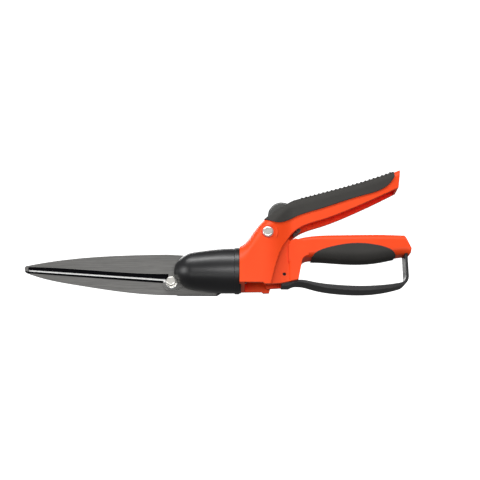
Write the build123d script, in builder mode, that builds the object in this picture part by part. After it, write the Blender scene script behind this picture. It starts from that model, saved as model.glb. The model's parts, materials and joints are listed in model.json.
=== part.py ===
from build123d import *
import math
import os

os.makedirs("parts", exist_ok=True)

# Grass shears held closed: blades to -X, handles to +X, jaws and handles open in the XZ plane.
# Outlines are drawn about the point where the swivel axis crosses the head joint.

# Where that point lies: the origin is under the middle of the whole tool, at its lowest level.
swivel_x = 20.8
swivel_z = 21.2

# Blades
blade_reach = 195.8
blade_thick = 2.0
blade_gap = 0.05
bolt_x = -61.5
bolt_z = -9.5
bolt_radius = 3.2
nut_radius = 4.9
bevel_depth = 0.5

# Swivel head
head_length = 59.3
head_radius = 21.2
head_flat = 6.0
neck_radius = 10.0
spigot_radius = 19.8
rod_radius = 3.0
cavity_radius = 8.0
sole_back = 18.0
joint_gap = 0.3
near_face = head_flat + blade_gap
far_face = near_face + blade_thick
tang_face = far_face + blade_gap + blade_thick
screw_spots = [(-22, 8.8), (-22, -11.8), (-8, 8.8), (-8, -11.8)]

# Handles
wall = 2.8
collar_radius = 21.75
rivet_x = 25.3
rivet_z = 30.9
rivet_radius = 4.0
cheek_face = 20.5
tongue_face = 11.4
tongue_wall = 3.0
pin_end = tongue_face - 1.0
grip_thick = 1.1
lever_face = 12.5

# Linkage: the lever opens by this much and drives the rod and the upper blade
lever_swing = 16.0
blade_swing = 23.0
running = 0.05
yoke_arm = 31.2
yoke_x = rivet_x + yoke_arm * math.sin(math.radians(lever_swing / 2))
yoke_z = rivet_z - yoke_arm * math.cos(math.radians(lever_swing / 2))
rod_travel = 2 * yoke_arm * math.sin(math.radians(lever_swing / 2))
pin_x = -37.5
pin_radius = 2.5
yoke_radius = 3.0
spool_radius = 6.4

# Thumb lock
lock_x = 38.7
lock_z = 51.2
lock_radius = 12.9
stud_x = 42.0
stud_z = 33.0
stud_radius = 1.2

# Finger guard
guard_x = 39.7
guard_z = -5.8
guard_pin_radius = 1.5


def side(y):
    """Upright plane seen from the near side, X to the right and Z up."""
    return Plane(origin=(swivel_x, y, swivel_z), x_dir=(1, 0, 0), z_dir=(0, -1, 0))


def across(x):
    """Plane square to the swivel axis, Y to the right and Z up."""
    return Plane(origin=(swivel_x + x, 0, swivel_z), x_dir=(0, 1, 0), z_dir=(1, 0, 0))


swivel_axis = Axis((swivel_x, 0, swivel_z), (1, 0, 0))


def along_y(x, z, near, far):
    """Plane for a round piece lying across the tool between two Y levels, with its length."""
    return side(far).shift_origin((swivel_x + x, far, swivel_z + z)), far - near


def cross_pin(x, z, radius, near, far):
    """Plain round pin lying across the tool."""
    plane, length = along_y(x, z, near, far)
    with BuildPart() as pin:
        with BuildSketch(plane):
            Circle(radius)
        extrude(amount=length)
    return pin.part


def side_block(outline, near, far):
    """Solid of a side outline between two Y levels."""
    with BuildPart() as block:
        with BuildSketch(side(far)):
            with BuildLine():
                outline()
            make_face()
        extrude(amount=far - near)
    return block.part


def body_section(x, half_width, top, corner, grow):
    """Round-shouldered section of the handle moulding at one station."""
    w = half_width + grow
    t = top + grow
    r = corner + grow
    low = -24.0
    diag = r * math.sqrt(0.5)
    with BuildSketch(across(x)) as section:
        with BuildLine():
            Line((-w, low), (-w, t - r))
            ThreePointArc((-w, t - r), (-w + r - diag, t - r + diag), (-w + r, t))
            Line((-w + r, t), (w - r, t))
            ThreePointArc((w - r, t), (w - r + diag, t - r + diag), (w, t - r))
            Line((w, t - r), (w, low))
            Line((w, low), (-w, low))
        make_face()
    return section.sketch.face()


def handle_body(grow):
    """Outer form of the upper handle: round collar, broad cheeks, slender raised handle."""
    front = [
        body_section(0, collar_radius, 21.8, 20.9, grow),
        body_section(8, 21.6, 28.2, 20.0, grow),
        body_section(16, 21.2, 39.2, 18.0, grow),
        body_section(26, cheek_face, 48.6, 15.0, grow),
        body_section(36, 17.6, 55.4, 11.0, grow),
        body_section(50, 13.4, 64.2, 8.4, grow),
    ]
    rear = [
        body_section(50, 13.4, 64.2, 8.4, grow),
        body_section(75, 12.9, 71.0, 8.2, grow),
        body_section(110, 12.2, 81.1, 7.8, grow),
        body_section(152, 8.9, 97.2, 6.6, grow),
    ]
    with BuildPart() as body:
        loft(front)
        loft(rear)
    return body.part


def handle_side():
    """Side view of the upper handle: collar face, cheek, finger side and rear end."""
    Polyline((27, -16.5), (21.6, -16.5), (20.4, -15.2), (0, -15.2), (0, 130), (154, 130), (146, 76.6))
    Spline((146, 76.6), (129, 68.2), (100, 54.8), (75, 45.0), (56, 38.2), (43.6, 26.5))
    Spline((43.6, 26.5), (35.8, 13.2), (30.6, -3.0), (27, -16.5))


def grip_side():
    """Side view of the soft cover on the upper handle."""
    Spline((22.4, 44.9), (36.6, 40.4), (50, 46.6), (72, 54.4), (110, 67.2), (134, 76.6), (142.6, 87))
    Polyline((142.6, 87), (143.4, 120), (22.4, 120), (22.4, 44.9))


def ring(x, outer, inner, length, z=0.0):
    """Plain disc or ring about an axis along X, starting at one station and running toward +X."""
    with BuildPart() as band:
        with BuildSketch(across(x)):
            with Locations((0, z)):
                Circle(outer)
                if inner > 0:
                    Circle(inner, mode=Mode.SUBTRACT)
        extrude(amount=length)
    return band.part


def dome(x, z, radius, near, far, edge, up):
    """Round head lying across the tool, with its outer rim rounded on the near or far side."""
    with BuildPart() as head:
        add(cross_pin(x, z, radius, near, far))
        rims = head.edges().filter_by(GeomType.CIRCLE).sort_by(Axis.Y)
        fillet(rims[0] if up else rims[-1], radius=edge)
    return head.part


def channel():
    """Space inside the upper handle, from its bulkhead to just short of its rear end."""
    with BuildPart() as hollow:
        add(handle_body(-wall))
        with BuildSketch(across(4.5)):
            Rectangle(80, 260)
        extrude(amount=138.5, mode=Mode.INTERSECT)
    return hollow.part


# Upper handle: one moulding with collar, bulkhead, cheeks and a channel open underneath
with BuildPart() as main_frame:
    add(handle_body(0))
    add(side_block(handle_side, -30, 30), mode=Mode.INTERSECT)
    add(channel(), mode=Mode.SUBTRACT)
    # boss that holds the detent ball and its spring
    add(ring(4.4, 4.2, 0, 6.6, 16.0))
    add(ring(-1, 2.2, 0, 11.0, 16.0), mode=Mode.SUBTRACT)
    # bulkhead bore for the neck of the head, and the groove that shelters its spigot
    add(ring(-1, neck_radius + running, 0, 6.0), mode=Mode.SUBTRACT)
    add(ring(-1, spigot_radius + 0.9, spigot_radius - 0.9, 2.6), mode=Mode.SUBTRACT)
    # pivot bosses inside the cheeks, their bore and the shallow seats of the rivet heads
    for near, far in ((-19.0, -tongue_face - 0.8), (tongue_face + 0.8, 19.0)):
        add(cross_pin(rivet_x, rivet_z, 9.0, near, far))
    add(cross_pin(rivet_x, rivet_z, rivet_radius, -30, 30), mode=Mode.SUBTRACT)
    add(cross_pin(rivet_x, rivet_z, 5.7, -30, -19.4), mode=Mode.SUBTRACT)
    add(cross_pin(rivet_x, rivet_z, 5.7, 19.4, 30), mode=Mode.SUBTRACT)
    # slot in the top for the thumb lock, and the blind bores of its pin
    for near, far in ((-12.0, -6.3), (6.3, 12.0)):
        add(cross_pin(lock_x, lock_z, 4.0, near, far))
    with BuildSketch(Plane.XY.offset(swivel_z + 35)):
        with Locations((swivel_x + lock_x - 0.4, 0)):
            SlotOverall(29, 12.6)
    extrude(amount=40, mode=Mode.SUBTRACT)
    add(cross_pin(lock_x, lock_z, 2.0, -11, 11), mode=Mode.SUBTRACT)
    # stiffening webs across the roof of the channel
    with BuildSketch(side(0)):
        with Locations((70, 63), (92, 69), (114, 75.5), (134, 82)):
            Rectangle(2.2, 9.0)
    extrude(amount=9.0, both=True)

# Soft cover of the upper handle
with BuildPart() as upper_grip:
    add(handle_body(grip_thick))
    add(side_block(grip_side, -30, 30), mode=Mode.INTERSECT)
    add(handle_body(0), mode=Mode.SUBTRACT)
    with BuildSketch(Plane.XY.offset(swivel_z + 35)):
        with Locations((swivel_x + lock_x - 0.4, 0)):
            SlotOverall(29.8, 13.4)
    extrude(amount=60, mode=Mode.SUBTRACT)

# Rivet through cheeks and lever, its cap and the two thrust washers beside the lever
with BuildPart() as pivot_rivet:
    add(dome(rivet_x, rivet_z, 5.0, -22.0, -19.4, 1.8, True))
    add(cross_pin(rivet_x, rivet_z, rivet_radius, -19.4, 21.0))

with BuildPart() as rivet_cap:
    add(dome(rivet_x, rivet_z, 5.0, 19.4, 22.0, 1.8, False))
    add(cross_pin(rivet_x, rivet_z, rivet_radius, 19.4, 21.0), mode=Mode.SUBTRACT)

with BuildPart() as thrust_washers:
    for near in (-tongue_face - 0.75, tongue_face + 0.1):
        add(cross_pin(rivet_x, rivet_z, 8.5, near, near + 0.65))
        add(cross_pin(rivet_x, rivet_z, rivet_radius, near, near + 0.65), mode=Mode.SUBTRACT)


# Thumb lock: a disc standing out of the channel's back, with a hook that reaches under the stud
with BuildPart() as lock_catch:
    add(cross_pin(lock_x, lock_z, lock_radius, -5.6, 5.6))
    fillet(lock_catch.edges().filter_by(GeomType.CIRCLE), radius=2.2)
    with BuildSketch(side(3)):
        with BuildLine():
            finger_in = CenterArc((lock_x, lock_z), 19.9, -61, 24)
            finger_out = CenterArc((lock_x, lock_z), 21.7, -61, 24)
            Line(finger_in @ 0, finger_out @ 0)
            Line(finger_in @ 1, finger_out @ 1)
        make_face()
        with BuildLine():
            arm_top = CenterArc((lock_x, lock_z), 8.0, -48, 11)
            arm_end = CenterArc((lock_x, lock_z), 21.7, -45, 8)
            Line(arm_top @ 0, arm_end @ 0)
            Line(arm_top @ 1, arm_end @ 1)
        make_face()
    extrude(amount=6)
    add(cross_pin(lock_x, lock_z, 2.0 + running, -6, 6), mode=Mode.SUBTRACT)

with BuildPart() as lock_pin:
    add(cross_pin(lock_x, lock_z, 2.0, -11, 11))


def bar_section(x, half_width, low, top, corner, grow):
    """Rounded section of the lower handle at one station."""
    with BuildSketch(across(x)) as section:
        with Locations((0, (low + top) / 2)):
            RectangleRounded(2 * (half_width + grow), top - low + 2 * grow, corner + grow)
    return section.sketch.face()


def lever_end():
    """Side view that trims the lower handle at its raised front and its cut-back rear end."""
    Polyline((43.6, -30), (43.6, 23.6), (52, 40), (145.2, 40), (149.4, 29.4), (154.2, 18.4))
    Polyline((154.2, 18.4), (153.6, 14.4), (151.4, 12.6), (140, 0), (43.6, -30))


def neck_outline():
    """Side view of the neck that joins the lower handle to the tongue."""
    Polyline((43.6, 24.0), (50, 27.0), (62, 24), (62, 11.6))
    ThreePointArc((62, 11.6), (57.6, 9.8), (55.4, 5.0))
    Polyline((55.4, 5.0), (52.2, -10.4), (43.6, -12.4), (43.6, 24.0))


def tongue_outline():
    """Side view of the two plates that carry the lever between the cheeks."""
    Polyline((46, 24), (43.9, 26), (43.9, 33.8), (41.5, 36.6), (31, 38.6))
    ThreePointArc((31, 38.6), (19.9, 36.2), (17.4, 28.0))
    Polyline((17.4, 28.0), (22.4, 0), (24.4, -14.6), (37, -13.8), (46, -11.8), (46, 24))


def grip_patch():
    """Side view of the soft patch under the fingers."""
    Spline((62.6, 4.0), (66, 11.8), (80, 18.6), (104, 22.4), (126, 20.0), (138, 14.6), (141.4, 6.0))
    Line((141.4, 6.0), (62.6, 4.0))


def lower_handle(grow):
    """Rounded bar of the lower handle, grown outward for its soft cover."""
    with BuildPart() as bar:
        loft(
            [
                bar_section(43.6, lever_face, 3.0, 23.0, 3.2, grow),
                bar_section(52, lever_face, 9.0, 27.2, 4.0, grow),
                bar_section(66, lever_face, 10.8, 30.2, 5.0, grow),
                bar_section(84, lever_face, 9.6, 31.4, 6.0, grow),
                bar_section(106, lever_face, 8.4, 31.9, 6.6, grow),
                bar_section(132, 12.0, 11.0, 32.0, 6.4, grow),
                bar_section(157, 10.8, 12.9, 31.6, 5.0, grow),
            ]
        )
        add(side_block(lever_end, -30, 30), mode=Mode.INTERSECT)
    return bar.part


def lever_neck():
    """Short upright block between the bar and the tongue, with rounded upright corners."""
    with BuildPart() as neck:
        add(side_block(neck_outline, -30, 30))
        with BuildSketch(Plane.XY.offset(swivel_z - 20)):
            with Locations((swivel_x + 53.6, 0)):
                RectangleRounded(20, 2 * lever_face, 2.6)
        extrude(amount=60, mode=Mode.INTERSECT)
    return neck.part


# Lower handle: bar, neck and the two-walled tongue that runs up between the cheeks
with BuildPart() as lever:
    add(lower_handle(0))
    add(lever_neck())
    add(side_block(tongue_outline, -tongue_face, -tongue_face + tongue_wall))
    add(side_block(tongue_outline, tongue_face - tongue_wall, tongue_face))
    # cross rib joining the two walls
    with BuildSketch(side(0)):
        with Locations((39.6, 12.0)):
            Rectangle(2.4, 30.0)
    extrude(amount=tongue_face - 1, both=True)
    # bores for the rivet, yoke pins, lock stud and guard pin
    add(cross_pin(rivet_x, rivet_z, rivet_radius + running, -20, 20), mode=Mode.SUBTRACT)
    add(cross_pin(yoke_x, yoke_z, yoke_radius, -pin_end, pin_end), mode=Mode.SUBTRACT)
    add(cross_pin(stud_x, stud_z, stud_radius, -pin_end, pin_end), mode=Mode.SUBTRACT)
    add(cross_pin(guard_x, guard_z, guard_pin_radius, -20, 20), mode=Mode.SUBTRACT)
    # clearance for the rear collar of the draw rod, and the seats of the guard's two ends
    add(ring(31.0, 8.4, 0, 7.0), mode=Mode.SUBTRACT)
    with BuildSketch(side(0)):
        with BuildLine():
            Polyline((49, -20), (35.6, -20), (35.6, -2.4), (43, -2.4))
            Polyline((43, -2.4), (43, -9.4), (49, -9.4), (49, -20))
        make_face()
    extrude(amount=tongue_face - tongue_wall, both=True, mode=Mode.SUBTRACT)
    with BuildSketch(side(0)):
        with Locations((149.8, 12.0)):
            Rectangle(2.8, 14.0)
    extrude(amount=7.9, both=True, mode=Mode.SUBTRACT)

with BuildPart() as lower_grip:
    add(lower_handle(grip_thick))
    add(side_block(grip_patch, -30, 30), mode=Mode.INTERSECT)
    add(lower_handle(0), mode=Mode.SUBTRACT)

with BuildPart() as yoke_pins:
    add(cross_pin(yoke_x, yoke_z, yoke_radius, -pin_end, -3.2))
    add(cross_pin(yoke_x, yoke_z, yoke_radius, 3.2, pin_end))

with BuildPart() as lock_stud:
    add(cross_pin(stud_x, stud_z, stud_radius, -pin_end, pin_end))

with BuildPart() as guard_pin:
    add(cross_pin(guard_x, guard_z, guard_pin_radius, -pin_end, pin_end))
    add(cross_pin(guard_x, guard_z, 0.8, -pin_end, pin_end), mode=Mode.SUBTRACT)


# Finger guard: a broad strap from under the tongue, round the fingers and up into the handle's end
with BuildPart() as finger_guard:
    with BuildSketch(side(0)):
        with BuildLine():
            Polyline((37.3, -3.0), (42.0, -3.0), (42.0, -10.0), (45.0, -12.6))
            Spline(
                (45, -12.6), (54.5, -10.6), (66, -12.6), (86, -15.2), (108, -16.2), (130, -14.8), (143, -12.6)
            )
            ThreePointArc((143, -12.6), (147.1, -10.0), (148.6, -5.0))
            Polyline((148.6, -5.0), (148.6, 18.6), (151.0, 18.6), (151.0, -6.0))
            ThreePointArc((151.0, -6.0), (148.9, -12.0), (143.6, -15.6))
            Spline(
                (143.6, -15.6), (130, -18.6), (108, -20.4), (86, -19.2),
                (66, -15.6), (54.5, -12.8), (44, -15.4)
            )
            Polyline((44, -15.4), (37.3, -15.4), (37.3, -3.0))
        make_face()
    extrude(amount=11, both=True)
    # plan shape: narrow tab between the tongue walls, broad strap, narrow rear leg
    with BuildSketch(Plane.XY.offset(swivel_z - 30)):
        with BuildLine(Plane.XY.offset(swivel_z - 30)):
            Polyline((50.8, -8.2), (68.6, -8.2), (73.8, -10.6), (140.8, -10.6))
            Spline((140.8, -10.6), (160.8, -8.6), (176.8, -6.5))
            Polyline((176.8, -6.5), (176.8, 0), (50.8, 0), (50.8, -8.2))
        make_face()
        mirror(about=Plane.XZ)
    extrude(amount=60, mode=Mode.INTERSECT)
    add(cross_pin(guard_x, guard_z, guard_pin_radius, -20, 20), mode=Mode.SUBTRACT)


def housing_profile():
    """Half outline of the bullet-shaped head, from its nose to its rear face."""
    Line((-head_length, 0), (-58.7, 3.4))
    Spline((-58.7, 3.4), (-56.6, 7.6), (-53.4, 11.1), (-48.6, 14.6), (-42.0, 16.9))
    Spline((-42.0, 16.9), (-30, 18.6), (-14, 20.2), (-4.5, 20.5))
    Polyline((-4.5, 20.5), (-4.2, head_radius), (-joint_gap, head_radius), (-joint_gap, 0), (-head_length, 0))


# Head: a bullet cut flat on its far side, with a neck that turns in the bulkhead
with BuildPart() as head_housing:
    with BuildSketch(side(0)):
        with BuildLine():
            housing_profile()
        make_face()
    revolve(axis=swivel_axis)
    # thin spigot round the rear face, which keeps grass out of the swivel joint
    add(ring(-joint_gap, spigot_radius + 0.6, spigot_radius - 0.6, 1.6))
    # flat that the upper blade slides on, with a raised pad that clamps the lower blade's tang
    with BuildSketch(side(30)):
        with Locations((-45, 0)):
            Rectangle(32, 60)
    extrude(amount=30 - head_flat, mode=Mode.SUBTRACT)
    with BuildSketch(side(30)):
        with Locations((-13, 0)):
            Rectangle(32.2, 60)
    extrude(amount=30 - head_flat - blade_thick - 2 * blade_gap, mode=Mode.SUBTRACT)
    add(ring(-joint_gap - 0.1, neck_radius, 0, 9.0))
    add(ring(4.9, neck_radius + 1, neck_radius - 1, 1.8), mode=Mode.SUBTRACT)
    add(ring(-53.0, cavity_radius, 0, 48.0), mode=Mode.SUBTRACT)
    add(ring(-20, rod_radius + 1, 0, 40), mode=Mode.SUBTRACT)
    # shallow track of the detent ball, with a deeper pocket every quarter turn
    with BuildSketch(side(0)):
        with Locations((1.5, 16.0)):
            Circle(2.25)
    revolve(axis=swivel_axis, mode=Mode.SUBTRACT)
    with BuildSketch(across(-1.1)):
        with PolarLocations(16.0, 4, start_angle=45):
            Circle(1.3)
    extrude(amount=2, mode=Mode.SUBTRACT)
    # hollow in the nose that clears the blade nut
    add(cross_pin(bolt_x, bolt_z, nut_radius + 0.7, -3.0, 7.0), mode=Mode.SUBTRACT)
    # pilot holes of the sole screws
    for x, z in screw_spots:
        add(cross_pin(x, z, 1.6, 5.0, 20), mode=Mode.SUBTRACT)


def sole_outline():
    """Side view of the sole: level with the lower blade's back, stepping in behind it."""
    Polyline((-57.5, 11.0), (-57.5, -20.0), (-55.5, -20.6), (-20.5, -20.8), (-17.0, -17.4), (-1.6, -17.4))
    Polyline((-1.6, -17.4), (-1.6, 12.0), (-3.2, 13.6), (-55.0, 13.6), (-57.5, 11.0))


# Flat sole on the far side of the head, which rests on the ground when the head is turned down
with BuildPart() as sole_plate:
    add(side_block(sole_outline, tang_face, sole_back))
    add(ring(-60, 23.6, 0, 60), mode=Mode.INTERSECT)
    back_rim = sole_plate.faces().sort_by(Axis.Y)[-1].edges()
    chamfer(back_rim, length=0.8)
    add(cross_pin(bolt_x, bolt_z, 7.0, 5, 25), mode=Mode.SUBTRACT)
    for x, z in screw_spots:
        add(cross_pin(x, z, 2.0, 5, 25), mode=Mode.SUBTRACT)
        with BuildSketch(side(sole_back)):
            with Locations((x, z)):
                Circle(3.5)
        extrude(amount=1.5, taper=45, mode=Mode.SUBTRACT)

with BuildPart() as sole_screws:
    for x, z in screw_spots:
        add(cross_pin(x, z, 1.6, 5.0, sole_back - 1.0))
        with BuildSketch(side(sole_back - 0.1)):
            with Locations((x, z)):
                Circle(3.3)
        extrude(amount=1.4, taper=45)
        with BuildSketch(side(sole_back - 0.1)):
            with Locations((x, z)):
                RectangleRounded(3.6, 0.9, 0.3)
                RectangleRounded(0.9, 3.6, 0.3)
        extrude(amount=1.0, mode=Mode.SUBTRACT)

# Swivel parts: snap ring on the neck, guide bush for the rod, detent ball and its spring
with BuildPart() as snap_ring:
    add(ring(5.0, 11.4, neck_radius - 1, 1.5))
    with BuildSketch(across(4)):
        with Locations((0, -11)):
            Rectangle(5, 8)
    extrude(amount=4, mode=Mode.SUBTRACT)

with BuildPart() as rod_bush:
    add(ring(-9.0, cavity_radius, rod_radius + running, 4.0))
    add(ring(-5.0, rod_radius + 1, rod_radius + running, 12.0))

with BuildPart() as detent_ball:
    with Locations((swivel_x + 1.5, 0, swivel_z + 16.0)):
        Sphere(2.0)


def coil(start, length, turns, mean_radius, wire, z=0.0):
    """Open coil of round wire about an axis along X."""
    with BuildPart() as spring:
        with BuildLine():
            path = Helix(
                pitch=length / turns,
                height=length,
                radius=mean_radius,
                center=(swivel_x + start, 0, swivel_z + z),
                direction=(1, 0, 0),
            )
        with BuildSketch(path ^ 0):
            Circle(wire)
        sweep()
    return spring.part


with BuildPart() as detent_spring:
    add(coil(4.0, 5.8, 4.5, 1.55, 0.3, 16.0))

# Draw rod: runs down the swivel axis, with a spool that the lever's yoke pins ride in
with BuildPart() as draw_rod:
    add(ring(pin_x - 5.0, rod_radius, 0, yoke_x - pin_x + 9.6))
    add(ring(yoke_x - yoke_radius - 2.75, spool_radius, 0, 2.6))
    add(ring(yoke_x + yoke_radius + 0.15, spool_radius, 0, 2.6))
    fillet(draw_rod.edges().filter_by(GeomType.CIRCLE).group_by(SortBy.RADIUS)[-1], radius=0.5)

# Carriage on the rod's front end, with the pin that works the upper blade
with BuildPart() as carriage:
    add(ring(pin_x - 6.0, cavity_radius - 0.3, rod_radius, 12.0))
    with BuildSketch(side(30)):
        with Locations((pin_x, 0)):
            Rectangle(20, 40)
    extrude(amount=30 - head_flat + 0.3, mode=Mode.SUBTRACT)
    add(cross_pin(pin_x, 0, pin_radius, 0, 12), mode=Mode.SUBTRACT)

with BuildPart() as drive_pin:
    add(cross_pin(pin_x, 0, pin_radius, rod_radius + 0.02, head_flat + blade_gap + blade_thick))

with BuildPart() as return_spring:
    add(coil(pin_x + 8.1, 18.4, 6.5, 4.85, 0.7))

with BuildPart() as spring_seat:
    add(ring(pin_x + 6.1, 5.7, rod_radius + 0.02, 1.2))

with BuildPart() as spring_washer:
    add(ring(-10.2, 5.7, rod_radius + 0.3, 1.1))


def turned_back(angle, travel):
    """Place of the drive pin in the upper blade when the blade has opened by an angle."""
    across_x = pin_x - bolt_x - travel
    across_z = -bolt_z
    turn = math.radians(angle)
    local_x = across_x * math.cos(turn) - across_z * math.sin(turn)
    local_z = across_x * math.sin(turn) + across_z * math.cos(turn)
    return (bolt_x + local_x, bolt_z + local_z)


slot_open = turned_back(blade_swing, rod_travel)
slot_middle = turned_back(blade_swing / 2, rod_travel / 2)

def blade_tail():
    """Rear end of the upper blade, rounded about the bolt, the drive pin and the two upper corners."""
    with BuildSketch() as tail:
        with Locations((bolt_x, bolt_z)):
            Circle(7.6)
        with Locations((-65.5, 15.4)):
            Circle(1.6)
        with Locations((-52, 13.8)):
            Circle(2.4)
        with Locations((pin_x, 0)):
            Circle(6.0)
        make_hull()
    return tail.sketch


# Upper blade: swings on the bolt, hollow ground along its lower edge, with the cam slot in its tail
with BuildPart() as cutting_blade:
    with BuildSketch(side(far_face)):
        with BuildLine():
            Line((-67, -7.6), (-blade_reach + 3, 1.4))
            ThreePointArc((-blade_reach + 3, 1.4), (-blade_reach, 3.6), (-blade_reach + 3, 6.4))
            Spline((-blade_reach + 3, 6.4), (-164, 11.4), (-110, 15.9), (-66, 17.0))
            Line((-66, 17.0), (-67, -7.6))
        make_face()
        add(blade_tail())
        with Locations((bolt_x, bolt_z)):
            Circle(bolt_radius + running, mode=Mode.SUBTRACT)
        with BuildLine(mode=Mode.PRIVATE) as cam:
            ThreePointArc((pin_x, 0), slot_middle, slot_open)
        SlotArc(cam.edge(), height=2 * (pin_radius + 0.12), mode=Mode.SUBTRACT)
    extrude(amount=blade_thick)
    # hollow-ground bevel: a strip taken off the near face above the cutting edge
    with BuildSketch(side(near_face + bevel_depth)):
        with BuildLine():
            Polyline((-64.5, -1.3), (-64.5, -6.4), (-blade_reach + 3.4, 2.4), (-blade_reach + 3.4, 5.2))
            Spline((-blade_reach + 3.4, 5.2), (-160, 3.9), (-110, 0.3), (-64.5, -1.3))
        make_face()
    extrude(amount=2, mode=Mode.SUBTRACT)
    # honed edge: a narrow land ground deeper along the lower edge
    with BuildSketch(side(near_face + 2 * bevel_depth)):
        with BuildLine():
            Polyline((-67, -9), (-67, -6.2), (-blade_reach + 4, 2.5), (-blade_reach + 4, 0), (-67, -9))
        make_face()
    extrude(amount=2, mode=Mode.SUBTRACT)

# Lower blade: fixed to the head, its edge hidden behind the upper blade while closed
with BuildPart() as fixed_blade:
    with BuildSketch(side(far_face + blade_gap + blade_thick)):
        with BuildLine():
            Line((-12, 12.8), (-55, 12.8))
            Line((-55, 12.8), (-68, 2.4))
            Line((-68, 2.4), (-blade_reach + 2.6, 4.4))
            ThreePointArc((-blade_reach + 2.6, 4.4), (-blade_reach, 2.4), (-blade_reach + 1.6, 0.2))
            Spline(
                (-blade_reach + 1.6, 0.2), (-182, -3.9), (-145, -11.4), (-108, -17), (-74, -20), (-57, -20.3)
            )
            Polyline((-57, -20.3), (-22, -20.3), (-18, -16.8), (-4, -16.8), (-4, 12.8), (-12, 12.8))
        make_face()
        with Locations((bolt_x, bolt_z)):
            Circle(bolt_radius, mode=Mode.SUBTRACT)
        with Locations(*screw_spots):
            Circle(2.0, mode=Mode.SUBTRACT)
    extrude(amount=blade_thick)

# Blade bolt with its flat round head behind, wave washer and stepped cap nut
with BuildPart() as blade_bolt:
    add(dome(bolt_x, bolt_z, 6.0, tang_face + blade_gap, 12.8, 1.6, False))
    add(cross_pin(bolt_x, bolt_z, bolt_radius, -0.4, tang_face + blade_gap))

with BuildPart() as wave_washer:
    add(cross_pin(bolt_x, bolt_z, nut_radius + 0.3, 5.0, 5.95))
    add(cross_pin(bolt_x, bolt_z, bolt_radius, 5.0, 5.95), mode=Mode.SUBTRACT)

with BuildPart() as blade_nut:
    add(cross_pin(bolt_x, bolt_z, nut_radius, 3.8, 5.0))
    with BuildSketch(side(3.8)):
        with Locations((bolt_x, bolt_z)):
            RegularPolygon(nut_radius, 6)
    extrude(amount=2.8)
    add(dome(bolt_x, bolt_z, nut_radius - 0.6, -2.0, 1.0, 1.2, True))
    add(cross_pin(bolt_x, bolt_z, bolt_radius, -0.5, 5.0), mode=Mode.SUBTRACT)


pieces = {
    "main_frame": main_frame,
    "upper_grip": upper_grip,
    "pivot_rivet": pivot_rivet,
    "rivet_cap": rivet_cap,
    "thrust_washers": thrust_washers,
    "lock_catch": lock_catch,
    "lock_pin": lock_pin,
    "lever": lever,
    "lower_grip": lower_grip,
    "yoke_pins": yoke_pins,
    "lock_stud": lock_stud,
    "guard_pin": guard_pin,
    "finger_guard": finger_guard,
    "head_housing": head_housing,
    "sole_plate": sole_plate,
    "sole_screws": sole_screws,
    "snap_ring": snap_ring,
    "rod_bush": rod_bush,
    "detent_ball": detent_ball,
    "detent_spring": detent_spring,
    "draw_rod": draw_rod,
    "carriage": carriage,
    "drive_pin": drive_pin,
    "return_spring": return_spring,
    "spring_seat": spring_seat,
    "spring_washer": spring_washer,
    "cutting_blade": cutting_blade,
    "fixed_blade": fixed_blade,
    "blade_bolt": blade_bolt,
    "wave_washer": wave_washer,
    "blade_nut": blade_nut,
}

for label, piece in pieces.items():
    piece.part.label = label
    export_step(piece.part, f"parts/{label}.step")
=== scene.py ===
import json
import math
import bmesh
import bpy
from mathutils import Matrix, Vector


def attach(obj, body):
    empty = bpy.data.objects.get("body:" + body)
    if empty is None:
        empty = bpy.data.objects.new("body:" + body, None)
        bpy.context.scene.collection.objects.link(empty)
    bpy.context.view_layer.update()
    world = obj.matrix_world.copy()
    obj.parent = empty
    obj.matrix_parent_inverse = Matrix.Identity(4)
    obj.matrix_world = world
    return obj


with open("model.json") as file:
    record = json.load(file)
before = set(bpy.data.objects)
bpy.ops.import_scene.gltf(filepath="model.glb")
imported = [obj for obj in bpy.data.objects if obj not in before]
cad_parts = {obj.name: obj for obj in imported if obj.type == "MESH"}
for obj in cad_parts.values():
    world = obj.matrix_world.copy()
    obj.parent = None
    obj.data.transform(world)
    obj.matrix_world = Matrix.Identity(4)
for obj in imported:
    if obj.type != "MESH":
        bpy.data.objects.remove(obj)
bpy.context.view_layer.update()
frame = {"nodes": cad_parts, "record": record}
mm = 0.001
swivelPoint = Vector((20.8, 0.0, 21.2)) * mm  # where the swivel axis meets the head joint
print("frame loaded:", len(frame["nodes"]), "nodes")


def addNode(tree, kind, spot, inputs=None, **settings):
    # one node, its settings and the values of its unlinked inputs
    node = tree.nodes.new(kind)
    node.location = spot
    for key, value in settings.items():
        setattr(node, key, value)
    for key, value in (inputs or {}).items():
        node.inputs[key].default_value = value
    return node


def openGroup(name, ins, outs):
    # an empty shader group with named sockets
    tree = bpy.data.node_groups.new(name, "ShaderNodeTree")
    for label, kind, start in ins:
        socket = tree.interface.new_socket(label, in_out="INPUT", socket_type=kind)
        socket.default_value = start
    for label, kind in outs:
        tree.interface.new_socket(label, in_out="OUTPUT", socket_type=kind)
    return tree, addNode(tree, "NodeGroupInput", (-900, 0)), addNode(tree, "NodeGroupOutput", (600, 0))


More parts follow.
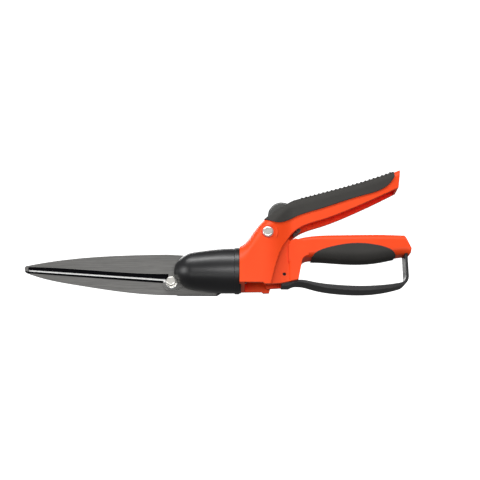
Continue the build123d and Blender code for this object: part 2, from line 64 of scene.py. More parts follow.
def makeMouldGrain():
    # fine spark-eroded grain with a slower unevenness under it
    tree, into, out = openGroup(
        "mouldGrain",
        [("Grain per metre", "NodeSocketFloat", 2500.0), ("Waviness", "NodeSocketFloat", 0.3)],
        [("Height", "NodeSocketFloat"), ("Mottle", "NodeSocketFloat")],
    )
    coords = addNode(tree, "ShaderNodeTexCoord", (-900, 300))
    fine = addNode(tree, "ShaderNodeTexNoise", (-600, 300), {"Detail": 2.0, "Roughness": 0.6})
    slow = addNode(tree, "ShaderNodeTexNoise", (-600, -100), {"Scale": 45.0, "Detail": 3.0})
    swell = addNode(tree, "ShaderNodeMath", (-300, -100), operation="MULTIPLY")
    both = addNode(tree, "ShaderNodeMath", (0, 100), operation="ADD")
    link = tree.links.new
    link(coords.outputs["Object"], fine.inputs["Vector"])
    link(coords.outputs["Object"], slow.inputs["Vector"])
    link(into.outputs["Grain per metre"], fine.inputs["Scale"])
    link(slow.outputs["Fac"], swell.inputs[0])
    link(into.outputs["Waviness"], swell.inputs[1])
    link(fine.outputs["Fac"], both.inputs[0])
    link(swell.outputs[0], both.inputs[1])
    link(both.outputs[0], out.inputs["Height"])
    link(slow.outputs["Fac"], out.inputs["Mottle"])
    return tree


def makeEdgeLight():
    # mask that is 1 along sharp edges, from how far a rounded normal leans away from the true one
    tree, into, out = openGroup(
        "edgeMask",
        [("Width", "NodeSocketFloat", 0.0008), ("Breakup", "NodeSocketFloat", 0.5)],
        [("Mask", "NodeSocketFloat"), ("Normal", "NodeSocketVector")],
    )
    coords = addNode(tree, "ShaderNodeTexCoord", (-900, 300))
    geometry = addNode(tree, "ShaderNodeNewGeometry", (-600, -200))
    rounded = addNode(tree, "ShaderNodeBevel", (-600, 0), samples=4)
    lean = addNode(tree, "ShaderNodeVectorMath", (-350, -100), operation="DOT_PRODUCT")
    turned = addNode(tree, "ShaderNodeMapRange", (-150, -100), {"From Min": 0.995, "From Max": 0.86})
    patches = addNode(tree, "ShaderNodeTexNoise", (-600, 300), {"Scale": 260.0, "Detail": 4.0})
    patchy = addNode(tree, "ShaderNodeMapRange", (-350, 300), {"From Min": 0.35, "From Max": 0.65})
    mixed = addNode(tree, "ShaderNodeMix", (0, 200), {"A": 1.0}, data_type="FLOAT")
    product = addNode(tree, "ShaderNodeMath", (250, 0), operation="MULTIPLY")
    link = tree.links.new
    link(coords.outputs["Object"], patches.inputs["Vector"])
    link(into.outputs["Width"], rounded.inputs["Radius"])
    link(rounded.outputs["Normal"], lean.inputs[0])
    link(geometry.outputs["Normal"], lean.inputs[1])
    link(lean.outputs["Value"], turned.inputs["Value"])
    link(patches.outputs["Fac"], patchy.inputs["Value"])
    link(into.outputs["Breakup"], mixed.inputs["Factor"])
    link(patchy.outputs[0], mixed.inputs["B"])
    link(mixed.outputs[0], product.inputs[0])
    link(turned.outputs[0], product.inputs[1])
    link(product.outputs[0], out.inputs["Mask"])
    link(rounded.outputs["Normal"], out.inputs["Normal"])
    return tree


def makeGrindLines():
    # long scratches along X, as a belt grinder leaves them
    tree, into, out = openGroup(
        "grindLines",
        [("Lines per metre", "NodeSocketFloat", 2600.0), ("Stretch", "NodeSocketFloat", 0.02)],
        [("Lines", "NodeSocketFloat"), ("Cloud", "NodeSocketFloat")],
    )
    coords = addNode(tree, "ShaderNodeTexCoord", (-900, 300))
    scale = addNode(tree, "ShaderNodeCombineXYZ", (-900, -200), {"Y": 1.0, "Z": 1.0})
    drawn = addNode(tree, "ShaderNodeVectorMath", (-650, 200), operation="MULTIPLY")
    lines = addNode(tree, "ShaderNodeTexNoise", (-400, 200), {"Detail": 3.0, "Roughness": 0.7})
    cloud = addNode(tree, "ShaderNodeTexNoise", (-400, -150), {"Scale": 22.0, "Detail": 2.0})
    link = tree.links.new
    link(into.outputs["Stretch"], scale.inputs["X"])
    link(coords.outputs["Object"], drawn.inputs[0])
    link(scale.outputs[0], drawn.inputs[1])
    link(drawn.outputs[0], lines.inputs["Vector"])
    link(into.outputs["Lines per metre"], lines.inputs["Scale"])
    link(coords.outputs["Object"], cloud.inputs["Vector"])
    link(lines.outputs["Fac"], out.inputs["Lines"])
    link(cloud.outputs["Fac"], out.inputs["Cloud"])
    return tree


def makeRecessShade():
    # painted shade: a mask that rises from 0 in the open to 1 far within a channel or a groove of the same
    # piece, where shade falls
    tree, into, out = openGroup(
        "recessShadeGroup", [("Reach", "NodeSocketFloat", 0.010)], [("Mask", "NodeSocketFloat")]
    )
    shut = addNode(tree, "ShaderNodeAmbientOcclusion", (-500, 0), samples=6, only_local=True)
    recessShade = addNode(tree, "ShaderNodeMapRange", (-200, 0), {"From Min": 0.80, "From Max": 0.42})
    link = tree.links.new
    link(into.outputs["Reach"], shut.inputs["Distance"])
    link(shut.outputs["AO"], recessShade.inputs["Value"])
    link(recessShade.outputs[0], out.inputs["Mask"])
    return tree


mouldGrain = makeMouldGrain()
edgeMask = makeEdgeLight()
grindLines = makeGrindLines()
recessShadeGroup = makeRecessShade()


def placeGroup(tree, group, spot, values):
    node = addNode(tree, "ShaderNodeGroup", spot, node_tree=group)
    for label, value in values.items():
        node.inputs[label].default_value = value
    return node


# what every plastic and every metal shares: how far roughness strays below and above its own value,
# how broken up the rubbed edges are, and how tall the grain stands in metres
plasticCommon = {"below": 0.05, "above": 0.07, "breakup": 0.7, "relief": 0.0002}
metalCommon = {"below": 0.06, "above": 0.08, "breakup": 0.4, "relief": 0.0001}


def placeGloss(tree, rough, common):
    # roughness that strays a little around its own value
    levels = {"To Min": rough - common["below"], "To Max": rough + common["above"]}
    return addNode(tree, "ShaderNodeMapRange", (-600, 0), levels)


def mouldedPlastic(name, look):
    # plastic or rubber: grained bump, rubbed edges, a slight unevenness of colour and painted shade darkening
    # its channels and grooves
    material = bpy.data.materials.new(name)
    material.use_nodes = True
    tree = material.node_tree
    shader = tree.nodes["Principled BSDF"]
    grain = placeGroup(
        tree, mouldGrain, (-900, 0), {"Grain per metre": look["grain"], "Waviness": look["wavy"]}
    )
    edges = placeGroup(
        tree, edgeMask, (-900, -300), {"Width": look["round"], "Breakup": plasticCommon["breakup"]}
    )
    tones = addNode(tree, "ShaderNodeMix", (-600, 300), data_type="RGBA")
    tones.inputs["A"].default_value = (*look["color"], 1)
    tones.inputs["B"].default_value = (*look["shade"], 1)
    recessShadeMask = placeGroup(tree, recessShadeGroup, (-900, 500), {"Reach": look["reach"]})
    # painted shade: colour pulled towards the look's dark recess colour where the mask finds a channel or
    # groove
    recessShaded = addNode(tree, "ShaderNodeMix", (-450, 500), {"B": (*look["recessShade"], 1)}, data_type="RGBA")
    worn = addNode(tree, "ShaderNodeMix", (-250, 300), data_type="RGBA")
    worn.inputs["B"].default_value = (*look["rubbed"], 1)
    amount = addNode(tree, "ShaderNodeMath", (-600, -300), {1: look["wear"]}, operation="MULTIPLY")
    gloss = placeGloss(tree, look["rough"], plasticCommon)
    bump = addNode(
        tree, "ShaderNodeBump", (-300, -200), {"Strength": look["bump"], "Distance": plasticCommon["relief"]}
    )
    link = tree.links.new
    link(grain.outputs["Mottle"], tones.inputs["Factor"])
    link(tones.outputs["Result"], recessShaded.inputs["A"])
    link(recessShadeMask.outputs["Mask"], recessShaded.inputs["Factor"])
    link(recessShaded.outputs["Result"], worn.inputs["A"])
    link(edges.outputs["Mask"], amount.inputs[0])
    link(amount.outputs[0], worn.inputs["Factor"])
    link(worn.outputs["Result"], shader.inputs["Base Color"])
    link(grain.outputs["Mottle"], gloss.inputs["Value"])
    link(gloss.outputs[0], shader.inputs["Roughness"])
    link(grain.outputs["Height"], bump.inputs["Height"])
    link(edges.outputs["Normal"], bump.inputs["Normal"])
    link(bump.outputs["Normal"], shader.inputs["Normal"])
    shader.inputs["Coat Weight"].default_value = look["coat"]
    shader.inputs["Coat Roughness"].default_value = look["coatRough"]
    shader.inputs["Specular IOR Level"].default_value = look["spec"]
    return material


def groundMetal(name, look):
    # metal with lengthwise grinding lines, cloudy polish and bright rubbed edges
    material = bpy.data.materials.new(name)
    material.use_nodes = True
    tree = material.node_tree
    shader = tree.nodes["Principled BSDF"]
    lines = placeGroup(
        tree, grindLines, (-900, 0), {"Lines per metre": look["lines"], "Stretch": look["stretch"]}
    )
    edges = placeGroup(
        tree, edgeMask, (-900, -300), {"Width": look["round"], "Breakup": metalCommon["breakup"]}
    )
    tones = addNode(tree, "ShaderNodeMix", (-600, 300), data_type="RGBA")
    tones.inputs["A"].default_value = (*look["dark"], 1)
    tones.inputs["B"].default_value = (*look["light"], 1)
    spread = addNode(tree, "ShaderNodeMapRange", (-750, 300), {"From Min": 0.3, "From Max": 0.7})
    bright = addNode(tree, "ShaderNodeMix", (-350, 300), data_type="RGBA")
    bright.inputs["B"].default_value = (*look["edge"], 1)
    gloss = placeGloss(tree, look["rough"], metalCommon)
    bump = addNode(
        tree, "ShaderNodeBump", (-300, -200), {"Strength": look["bump"], "Distance": metalCommon["relief"]}
    )
    link = tree.links.new
    link(lines.outputs["Lines"], spread.inputs["Value"])
    link(spread.outputs[0], tones.inputs["Factor"])
    link(tones.outputs["Result"], bright.inputs["A"])
    link(edges.outputs["Mask"], bright.inputs["Factor"])
    link(bright.outputs["Result"], shader.inputs["Base Color"])
    link(lines.outputs["Cloud"], gloss.inputs["Value"])
    link(gloss.outputs[0], shader.inputs["Roughness"])
    link(lines.outputs["Lines"], bump.inputs["Height"])
    link(edges.outputs["Normal"], bump.inputs["Normal"])
    link(bump.outputs["Normal"], shader.inputs["Normal"])
    shader.inputs["Metallic"].default_value = look.get("metal", 1.0)
    return material


# the dark recess colour in each plastic look below is painted shade for channels and grooves
orangeLook = {
    "color": (0.88, 0.058, 0.006), "shade": (0.97, 0.080, 0.010), "rubbed": (1.0, 0.17, 0.05), "wear": 0.22,
    "recessShade": (0.95, 0.006, 0.004), "reach": 0.026, "grain": 2200.0, "wavy": 0.4, "round": 0.0009,
    "rough": 0.46, "bump": 0.10, "coat": 0.06, "coatRough": 0.35, "spec": 0.22,
}
gripLook = {
    "color": (0.036, 0.034, 0.032), "shade": (0.052, 0.050, 0.046), "rubbed": (0.12, 0.115, 0.11),
    "wear": 0.3, "recessShade": (0.012, 0.012, 0.011), "reach": 0.003, "grain": 3200.0, "wavy": 0.5, "round": 0.0007,
    "rough": 0.80, "bump": 0.5, "coat": 0.0, "coatRough": 0.5, "spec": 0.25,
}
guardLook = {
    "color": (0.017, 0.017, 0.018), "shade": (0.028, 0.028, 0.029), "rubbed": (0.16, 0.16, 0.155),
    "wear": 0.45, "recessShade": (0.005, 0.005, 0.005), "reach": 0.004, "grain": 2600.0, "wavy": 0.4,
    "round": 0.0008, "rough": 0.50, "bump": 0.2, "coat": 0.05, "coatRough": 0.4, "spec": 0.40,
}
headLook = {
    "color": (0.004, 0.004, 0.005), "shade": (0.008, 0.008, 0.009), "rubbed": (0.05, 0.05, 0.05), "wear": 0.3,
    "recessShade": (0.001, 0.001, 0.001), "reach": 0.004, "grain": 2400.0, "wavy": 0.5, "round": 0.0008,
    "rough": 0.38, "bump": 0.10, "coat": 0.25, "coatRough": 0.30, "spec": 0.5,
}
lockLook = {
    "color": (0.052, 0.052, 0.049), "shade": (0.074, 0.074, 0.070), "rubbed": (0.2, 0.2, 0.2), "wear": 0.3,
    "recessShade": (0.004, 0.004, 0.004), "reach": 0.004, "grain": 2400.0, "wavy": 0.3, "round": 0.0008,
    "rough": 0.34, "bump": 0.1, "coat": 0.25, "coatRough": 0.3, "spec": 0.5,
}
bladeLook = {
    "dark": (0.105, 0.104, 0.100), "light": (0.195, 0.192, 0.184), "edge": (0.5, 0.5, 0.48), "lines": 2400.0,
    "stretch": 0.02, "round": 0.0003, "rough": 0.46, "bump": 0.25, "metal": 0.45,
}
nickelLook = {
    "dark": (0.80, 0.78, 0.72), "light": (0.94, 0.92, 0.87), "edge": (0.95, 0.94, 0.9), "lines": 700.0,
    "stretch": 1.0, "round": 0.0004, "rough": 0.26, "bump": 0.02, "metal": 0.68,
}
# the guard pin's near-black colour is painted shade, standing in for the dark hole at its end
darkPinLook = {
    "dark": (0.020, 0.020, 0.020), "light": (0.045, 0.045, 0.045), "edge": (0.10, 0.10, 0.10),
    "lines": 1500.0, "stretch": 1.0, "round": 0.0003, "rough": 0.45, "bump": 0.1, "metal": 0.6,
}
zincLook = {
    "dark": (0.42, 0.43, 0.44), "light": (0.58, 0.60, 0.62), "edge": (0.8, 0.8, 0.8), "lines": 1500.0,
    "stretch": 0.3, "round": 0.0003, "rough": 0.32, "bump": 0.1,
}
brassLook = {
    "dark": (0.58, 0.40, 0.16), "light": (0.72, 0.52, 0.24), "edge": (0.9, 0.75, 0.45), "lines": 1800.0,
    "stretch": 1.0, "round": 0.0003, "rough": 0.3, "bump": 0.1,
}

# what each grinding pass leaves on the upper blade, by how far below the flat face it lies; the colours on
# these bands are a painted dark reflection and a painted highlight
bandLook = {
    "flatAt": 6.05, "hollowAt": 6.55, "honedAt": 7.05,
    "hollow": (0.004, 0.004, 0.005), "honed": (0.82, 0.82, 0.81), "flatMetal": 0.45,
    "honedDepth": 0.4,
}


def addBands(material, look):
    # painted reflection and highlight: a near-black polished hollow and a bright honed land, told apart by
    # their level across the tool
    tree = material.node_tree
    shader = tree.nodes["Principled BSDF"]
    flatColor = shader.inputs["Base Color"].links[0].from_socket
    coords = addNode(tree, "ShaderNodeTexCoord", (-900, 700))
    split = addNode(tree, "ShaderNodeSeparateXYZ", (-700, 700))
    hollowSide = (look["flatAt"] + look["hollowAt"]) / 2 * mm
    honedSide = (look["hollowAt"] + look["honedAt"]) / 2 * mm
    inHollow = addNode(tree, "ShaderNodeMath", (-500, 800), {1: hollowSide}, operation="GREATER_THAN")
    inHoned = addNode(tree, "ShaderNodeMath", (-500, 600), {1: honedSide}, operation="GREATER_THAN")
    landEnd = (look["honedAt"] + look["honedDepth"]) * mm
    outside = addNode(tree, "ShaderNodeMath", (-500, 400), {1: landEnd}, operation="LESS_THAN")
    honed = addNode(tree, "ShaderNodeMath", (-300, 600), operation="MULTIPLY")
    hollow = addNode(tree, "ShaderNodeMath", (-300, 800), operation="MULTIPLY")
    paintedDarkMix = addNode(tree, "ShaderNodeMix", (-100, 700), {"B": (*look["hollow"], 1)}, data_type="RGBA")
    glintMixed = addNode(tree, "ShaderNodeMix", (100, 700), {"B": (*look["honed"], 1)}, data_type="RGBA")
    link = tree.links.new
    link(coords.outputs["Object"], split.inputs[0])
    for test in (inHollow, inHoned, outside):
        link(split.outputs["Y"], test.inputs[0])
    link(inHoned.outputs[0], honed.inputs[0])
    link(inHollow.outputs[0], hollow.inputs[0])
    for band in (honed, hollow):
        link(outside.outputs[0], band.inputs[1])
    link(flatColor, paintedDarkMix.inputs["A"])
    link(hollow.outputs[0], paintedDarkMix.inputs["Factor"])
    link(paintedDarkMix.outputs["Result"], glintMixed.inputs["A"])
    link(honed.outputs[0], glintMixed.inputs["Factor"])
    link(glintMixed.outputs["Result"], shader.inputs["Base Color"])
    # the polished hollow is a near-black mirror, a painted dark reflection, and the honed land is a bright
    # non-metal, a painted highlight
    mirror = addNode(tree, "ShaderNodeMapRange", (100, 950), {"To Min": look["flatMetal"], "To Max": 1.0})
    outsideGlint = addNode(tree, "ShaderNodeMath", (100, 1150), {0: 1.0}, operation="SUBTRACT")
    metal = addNode(tree, "ShaderNodeMath", (300, 1000), operation="MULTIPLY")
    link(hollow.outputs[0], mirror.inputs["Value"])
    link(honed.outputs[0], outsideGlint.inputs[1])
    link(mirror.outputs[0], metal.inputs[0])
    link(outsideGlint.outputs[0], metal.inputs[1])
    link(metal.outputs[0], shader.inputs["Metallic"])
    return material


# painted shadow on the lower blade: a dark band along the straight line of its shearing edge, standing in for
# the shadow the upper blade casts
bladeShadowLook = {
    "rear": (-67.0, -9.9), "front": (-191.0, -0.5), "soft": 0.5, "innerFace": 8.6,
    "color": (0.004, 0.004, 0.005), "flatMetal": 0.45,
}


def addPaintedBladeShadow(material, look):
    # painted shadow: a dark band above a line in the side view, standing in for the shadow the upper blade
    # casts; it shows as a thin black band while the blades are shut
    tree = material.node_tree
    shader = tree.nodes["Principled BSDF"]
    flatColor = shader.inputs["Base Color"].links[0].from_socket
    (rearX, rearZ), (frontX, frontZ) = look["rear"], look["front"]
    slope = (frontZ - rearZ) / (frontX - rearX)
    offset = (swivelPoint.z / mm + rearZ - slope * (swivelPoint.x / mm + rearX)) * mm
    coords = addNode(tree, "ShaderNodeTexCoord", (-900, 700))
    split = addNode(tree, "ShaderNodeSeparateXYZ", (-700, 700))
    line = addNode(tree, "ShaderNodeMath", (-500, 800), {1: slope, 2: offset}, operation="MULTIPLY_ADD")
    above = addNode(tree, "ShaderNodeMath", (-300, 700), operation="SUBTRACT")
    shadowRamp = addNode(tree, "ShaderNodeMapRange", (-100, 700), {"From Min": 0.0, "From Max": look["soft"] * mm})
    inner = addNode(tree, "ShaderNodeMath", (-300, 500), {1: look["innerFace"] * mm}, operation="LESS_THAN")
    paintedShadowMask = addNode(tree, "ShaderNodeMath", (0, 600), operation="MULTIPLY")
    paintedDarkMix = addNode(tree, "ShaderNodeMix", (200, 700), {"B": (*look["color"], 1)}, data_type="RGBA")
    metal = addNode(tree, "ShaderNodeMapRange", (200, 950), {"To Min": look["flatMetal"], "To Max": 1.0})
    link = tree.links.new
    link(coords.outputs["Object"], split.inputs[0])
    link(split.outputs["Y"], inner.inputs[0])
    link(split.outputs["X"], line.inputs[0])
    link(split.outputs["Z"], above.inputs[0])
    link(line.outputs[0], above.inputs[1])
    link(above.outputs[0], shadowRamp.inputs["Value"])
    link(shadowRamp.outputs[0], paintedShadowMask.inputs[0])
    link(inner.outputs[0], paintedShadowMask.inputs[1])
    link(flatColor, paintedDarkMix.inputs["A"])
    link(paintedShadowMask.outputs[0], paintedDarkMix.inputs["Factor"])
    link(paintedDarkMix.outputs["Result"], shader.inputs["Base Color"])
    link(paintedShadowMask.outputs[0], metal.inputs["Value"])
    link(metal.outputs[0], shader.inputs["Metallic"])
    return material


finishes = {
    "orange_plastic": mouldedPlastic("orangeShell", orangeLook),
    "soft_grip": mouldedPlastic("softGrip", gripLook),
    "dark_plastic": mouldedPlastic("guardPlastic", guardLook),
    "black_plastic": mouldedPlastic("headPlastic", headLook),
    "blade_steel": groundMetal("bladeSteel", bladeLook),
    "nickel_steel": groundMetal("brightNickel", nickelLook),
    "zinc_steel": groundMetal("zincSteel", zincLook),
    "bush_brass": groundMetal("bushBrass", brassLook),
}
for entry in frame["record"]["subparts"]:
    node = frame["nodes"][entry["node"]]
    node.data.materials.clear()
    node.data.materials.append(finishes[entry["material_slot"]])


def refinish(name, material):
    node = frame["nodes"][name]
    node.data.materials.clear()
    node.data.materials.append(material)


refinish("lock_catch", mouldedPlastic("thumbDisc", lockLook))
# the upper blade carries a painted dark reflection and a painted highlight on its grinding bands
refinish("cutting_blade", addBands(groundMetal("hollowGround", bladeLook), bandLook))
# the lower blade carries a painted shadow below the upper blade's edge
refinish("fixed_blade", addPaintedBladeShadow(groundMetal("lowerGroundShadowed", bladeLook), bladeShadowLook))
# painted shade: the guard pin is finished near black to stand in for the dark hole at its end
refinish("guard_pin", groundMetal("darkPin", darkPinLook))
print("finishes placed:", len(finishes))


# fine ribs moulded across the back of the upper grip, laid onto its surface by rays cast inward
ribLook = {
    "start": (57.0, 57.4), "end": (139.6, 84.6), "count": 22, "radius": 1.0, "sink": 0.15,
    "spread": 118.0, "reach": 18.0, "points": 11, "sides": 6, "ray": 50.0,
}


def makeRibTree(grip, material):
    tree = bpy.data.node_groups.new("backRibs", "GeometryNodeTree")
    tree.interface.new_socket("Spine", in_out="INPUT", socket_type="NodeSocketGeometry")
    for label in ("Rib radius", "Sink", "Reach", "Spread"):
        tree.interface.new_socket(label, in_out="INPUT", socket_type="NodeSocketFloat")
    for label in ("Ribs", "Points"):
        tree.interface.new_socket(label, in_out="INPUT", socket_type="NodeSocketInt")
    tree.interface.new_socket("Mesh", in_out="OUTPUT", socket_type="NodeSocketGeometry")
    into = addNode(tree, "NodeGroupInput", (-1200, 0))
    out = addNode(tree, "NodeGroupOutput", (1600, 0))
    spaced = addNode(tree, "GeometryNodeResampleCurve", (-900, 200))
    spine = addNode(tree, "GeometryNodeCurveToPoints", (-700, 200), mode="EVALUATED")
    arch = addNode(tree, "GeometryNodeCurveArc", (-900, -200), mode="RADIUS")
    startAngle = addNode(tree, "ShaderNodeMath", (-1050, -400), {0: math.pi}, operation="SUBTRACT")
    halfAngle = addNode(tree, "ShaderNodeMath", (-900, -400), {1: 0.5}, operation="MULTIPLY")
    upright = addNode(
        tree, "GeometryNodeTransform", (-600, -200), {"Rotation": (math.pi / 2, 0.0, math.pi / 2)}
    )
    place = addNode(tree, "GeometryNodeInputPosition", (-600, -450))
    inward = addNode(tree, "ShaderNodeVectorMath", (-400, -450), {"Scale": -1.0}, operation="SCALE")
    aimed = addNode(tree, "GeometryNodeStoreNamedAttribute", (-300, -200), {"Name": "aim"},
                    data_type="FLOAT_VECTOR", domain="POINT")
    spread = addNode(tree, "GeometryNodeInstanceOnPoints", (-50, 100))
    loose = addNode(tree, "GeometryNodeRealizeInstances", (150, 100))
    skin = addNode(tree, "GeometryNodeObjectInfo", (150, -400), {"Object": grip}, transform_space="ORIGINAL")
    aim = addNode(tree, "GeometryNodeInputNamedAttribute", (150, -200), {"Name": "aim"},
                  data_type="FLOAT_VECTOR")
    cast = addNode(tree, "GeometryNodeRaycast", (400, -300), {"Ray Length": ribLook["ray"] * mm})
    deeper = addNode(tree, "ShaderNodeMath", (400, -600), {1: -1.0}, operation="MULTIPLY")
    settle = addNode(tree, "ShaderNodeVectorMath", (600, -450), operation="SCALE")
    landed = addNode(tree, "ShaderNodeVectorMath", (800, -350), operation="ADD")
    laid = addNode(tree, "GeometryNodeSetPosition", (950, 100))
    profile = addNode(tree, "GeometryNodeCurvePrimitiveCircle", (950, -200), {"Resolution": ribLook["sides"]})
    solid = addNode(tree, "GeometryNodeCurveToMesh", (1150, 100), {"Fill Caps": True})
    real = addNode(tree, "GeometryNodeRealizeInstances", (1300, 100))
    coat = addNode(tree, "GeometryNodeSetMaterial", (1450, 100), {"Material": material})
    link = tree.links.new
    link(into.outputs["Spine"], spaced.inputs["Curve"])
    link(into.outputs["Ribs"], spaced.inputs["Count"])
    link(spaced.outputs["Curve"], spine.inputs["Curve"])
    link(into.outputs["Points"], arch.inputs["Resolution"])
    link(into.outputs["Reach"], arch.inputs["Radius"])
    link(into.outputs["Spread"], startAngle.inputs[1])
    link(startAngle.outputs[0], halfAngle.inputs[0])
    link(halfAngle.outputs[0], arch.inputs["Start Angle"])
    link(into.outputs["Spread"], arch.inputs["Sweep Angle"])
    link(arch.outputs["Curve"], upright.inputs["Geometry"])
    link(upright.outputs["Geometry"], aimed.inputs["Geometry"])
    link(place.outputs["Position"], inward.inputs[0])
    link(inward.outputs["Vector"], aimed.inputs["Value"])
    link(spine.outputs["Points"], spread.inputs["Points"])
    link(aimed.outputs["Geometry"], spread.inputs["Instance"])
    link(spread.outputs["Instances"], loose.inputs["Geometry"])
    link(loose.outputs["Geometry"], laid.inputs["Geometry"])
    link(skin.outputs["Geometry"], cast.inputs["Target Geometry"])
    link(aim.outputs["Attribute"], cast.inputs["Ray Direction"])
    link(into.outputs["Sink"], deeper.inputs[0])
    link(cast.outputs["Hit Normal"], settle.inputs[0])
    link(deeper.outputs[0], settle.inputs["Scale"])
    link(cast.outputs["Hit Position"], landed.inputs[0])
    link(settle.outputs["Vector"], landed.inputs[1])
    link(cast.outputs["Is Hit"], laid.inputs["Selection"])
    link(landed.outputs["Vector"], laid.inputs["Position"])
    link(laid.outputs["Geometry"], solid.inputs["Curve"])
    link(into.outputs["Rib radius"], profile.inputs["Radius"])
    link(profile.outputs["Curve"], solid.inputs["Profile Curve"])
    link(solid.outputs["Mesh"], real.inputs["Geometry"])
    link(real.outputs["Geometry"], coat.inputs["Geometry"])
    link(coat.outputs["Geometry"], out.inputs["Mesh"])
    return tree


def makeRibs(look):
    spine = bpy.data.curves.new("ribSpine", "CURVE")
    spine.dimensions = "3D"
    line = spine.splines.new("POLY")
    line.points.add(1)
    for point, (x, z) in zip(line.points, (look["start"], look["end"])):
        point.co = (*(swivelPoint + Vector((x, 0, z)) * mm), 1)
    carrier = bpy.data.objects.new("ribCarrier", spine)
    bpy.context.scene.collection.objects.link(carrier)
    tree = makeRibTree(frame["nodes"]["upper_grip"], finishes["soft_grip"])
    modifier = carrier.modifiers.new("ribs", "NODES")
    modifier.node_group = tree
    values = {
        "Rib radius": look["radius"] * mm, "Sink": look["sink"] * mm, "Reach": look["reach"] * mm,
        "Spread": math.radians(look["spread"]), "Ribs": look["count"], "Points": look["points"],
    }
    for item in tree.interface.items_tree:
        if item.name in values:
            modifier[item.identifier] = values[item.name]
    graph = bpy.context.evaluated_depsgraph_get()
    mesh = bpy.data.meshes.new_from_object(carrier.evaluated_get(graph), depsgraph=graph)
    carrier.modifiers.clear()
    bpy.data.objects.remove(carrier)
    mesh.polygons.foreach_set("use_smooth", [True] * len(mesh.polygons))
    ribs = bpy.data.objects.new("gripRibs", mesh)
    bpy.context.scene.collection.objects.link(ribs)
    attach(ribs, "frame")
    return ribs


gripRibs = makeRibs(ribLook)
print("grip ribs:", len(gripRibs.data.polygons), "faces")


# camera: level with the tool's side, looking up at it from a little below
view = {"target": (21.2, 0.0, 50.3), "distance": 730.0, "below": 16.5, "lens": 60.0, "sensor": 36.0}
tilt = math.radians(view["below"])
cameraData = bpy.data.cameras.new("viewCamera")
cameraData.lens = view["lens"]
cameraData.sensor_width = view["sensor"]
camera = bpy.data.objects.new("viewCamera", cameraData)
bpy.context.scene.collection.objects.link(camera)
toCamera = Vector((0, -math.cos(tilt), -math.sin(tilt)))
camera.location = (Vector(view["target"]) + view["distance"] * toCamera) * mm
camera.rotation_euler = (math.pi / 2 + tilt, 0, 0)
bpy.context.scene.camera = camera


# soft boxes: where each stands and points, its width and height in metres, and its power in watts
softBoxes = {
    "keyLight": {"spot": (-0.15, -0.60, 0.95), "aim": (0, 0, 0.05), "size": (1.3, 0.22), "power": 12.0},
    "fillLight": {"spot": (0.10, -1.15, -0.10), "aim": (0, 0, 0.05), "size": (0.9, 0.22), "power": 5.5},
    "underLight": {"spot": (0.0, -0.45, -0.28), "aim": (0, 0, 0.05), "size": (0.9, 0.1), "power": 0.5},
    "noseLight": {"spot": (-1.1, -0.50, -0.02), "aim": (-0.03, 0, 0.02), "size": (0.6, 0.5), "power": 4.5},
    "backLight": {"spot": (0.0, 0.80, 0.50), "aim": (0, 0, 0.05), "size": (1.0, 0.5), "power": 7.0},
}


def softBox(name, box):
    data = bpy.data.lights.new(name, "AREA")
    data.shape = "RECTANGLE"
    data.size, data.size_y = box["size"]
    data.energy = box["power"]
    lamp = bpy.data.objects.new(name, data)
    lamp.location = box["spot"]
    lamp.rotation_euler = (Vector(box["aim"]) - Vector(box["spot"])).to_track_quat("-Z", "Y").to_euler()
    bpy.context.scene.collection.objects.link(lamp)


for boxName, box in softBoxes.items():
    softBox(boxName, box)


# the floor's level and front edge, the bend into the backdrop, and the backdrop's top and half width,
# all in metres
sweepLook = {
    "floor": -0.30, "front": -3.0, "bendStart": 0.5, "bendRadius": 0.5, "steps": 12, "top": 3.0, "half": 4.0,
    "fibres": 60.0, "tints": (0.93, 0.97), "rough": 0.9, "glow": 0.75,
}


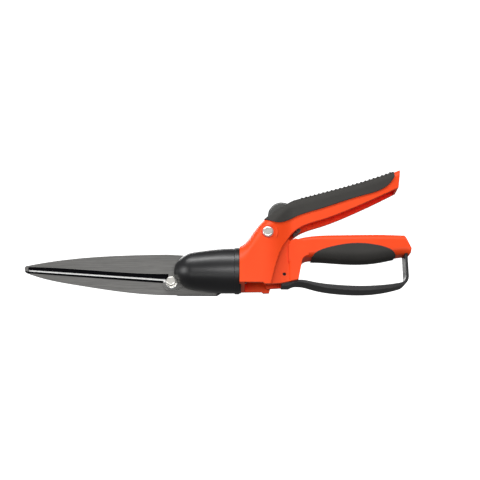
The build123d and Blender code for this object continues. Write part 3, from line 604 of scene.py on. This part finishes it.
def makeSweep(look):
    # pale floor that curves up into a backdrop well behind the tool
    mesh = bpy.data.meshes.new("paleSweep")
    shape = bmesh.new()
    start, radius, floor = look["bendStart"], look["bendRadius"], look["floor"]
    profile = [(look["front"], floor), (start, floor)]
    for i in range(1, look["steps"] + 1):
        angle = i * math.pi / 2 / look["steps"]
        profile.append((start + radius * math.sin(angle), floor + radius - radius * math.cos(angle)))
    profile.append((start + radius, look["top"]))
    rows = [[shape.verts.new((x, y, z)) for y, z in profile] for x in (-look["half"], look["half"])]
    for i in range(len(profile) - 1):
        shape.faces.new((rows[0][i], rows[1][i], rows[1][i + 1], rows[0][i + 1]))
    shape.to_mesh(mesh)
    shape.free()
    mesh.polygons.foreach_set("use_smooth", [True] * len(mesh.polygons))
    sweep = bpy.data.objects.new("paleSweep", mesh)
    bpy.context.scene.collection.objects.link(sweep)
    material = bpy.data.materials.new("palePaper")
    material.use_nodes = True
    tree = material.node_tree
    shader = tree.nodes["Principled BSDF"]
    coords = addNode(tree, "ShaderNodeTexCoord", (-800, 0))
    fibres = addNode(tree, "ShaderNodeTexNoise", (-600, 0), {"Scale": look["fibres"], "Detail": 3.0})
    palest, darkest = max(look["tints"]), min(look["tints"])
    tint = addNode(tree, "ShaderNodeMapRange", (-400, 0), {"To Min": darkest, "To Max": palest})
    tree.links.new(coords.outputs["Object"], fibres.inputs["Vector"])
    tree.links.new(fibres.outputs["Fac"], tint.inputs["Value"])
    tree.links.new(tint.outputs[0], shader.inputs["Base Color"])
    shader.inputs["Roughness"].default_value = look["rough"]
    shader.inputs["Emission Color"].default_value = (1, 1, 1, 1)
    shader.inputs["Emission Strength"].default_value = look["glow"]
    mesh.materials.append(material)
    sweep.visible_diffuse = False  # its glow stays off the tool, which the soft boxes light
    sweep.visible_glossy = False


makeSweep(sweepLook)

# pale surroundings for the eye, but only a faint glow on the tool
studio = {"shown": 1.0, "glow": 0.16}
world = bpy.data.worlds.new("studio")
world.use_nodes = True
background = world.node_tree.nodes["Background"]
background.inputs["Color"].default_value = (1, 1, 1, 1)
paths = addNode(world.node_tree, "ShaderNodeLightPath", (-600, 0))
strengths = {"To Min": studio["glow"], "To Max": studio["shown"]}
seen = addNode(world.node_tree, "ShaderNodeMapRange", (-300, 0), strengths)
world.node_tree.links.new(paths.outputs["Is Camera Ray"], seen.inputs["Value"])
world.node_tree.links.new(seen.outputs[0], background.inputs["Strength"])
bpy.context.scene.world = world
bpy.context.scene.view_settings.view_transform = "Standard"
print("camera and lights placed")
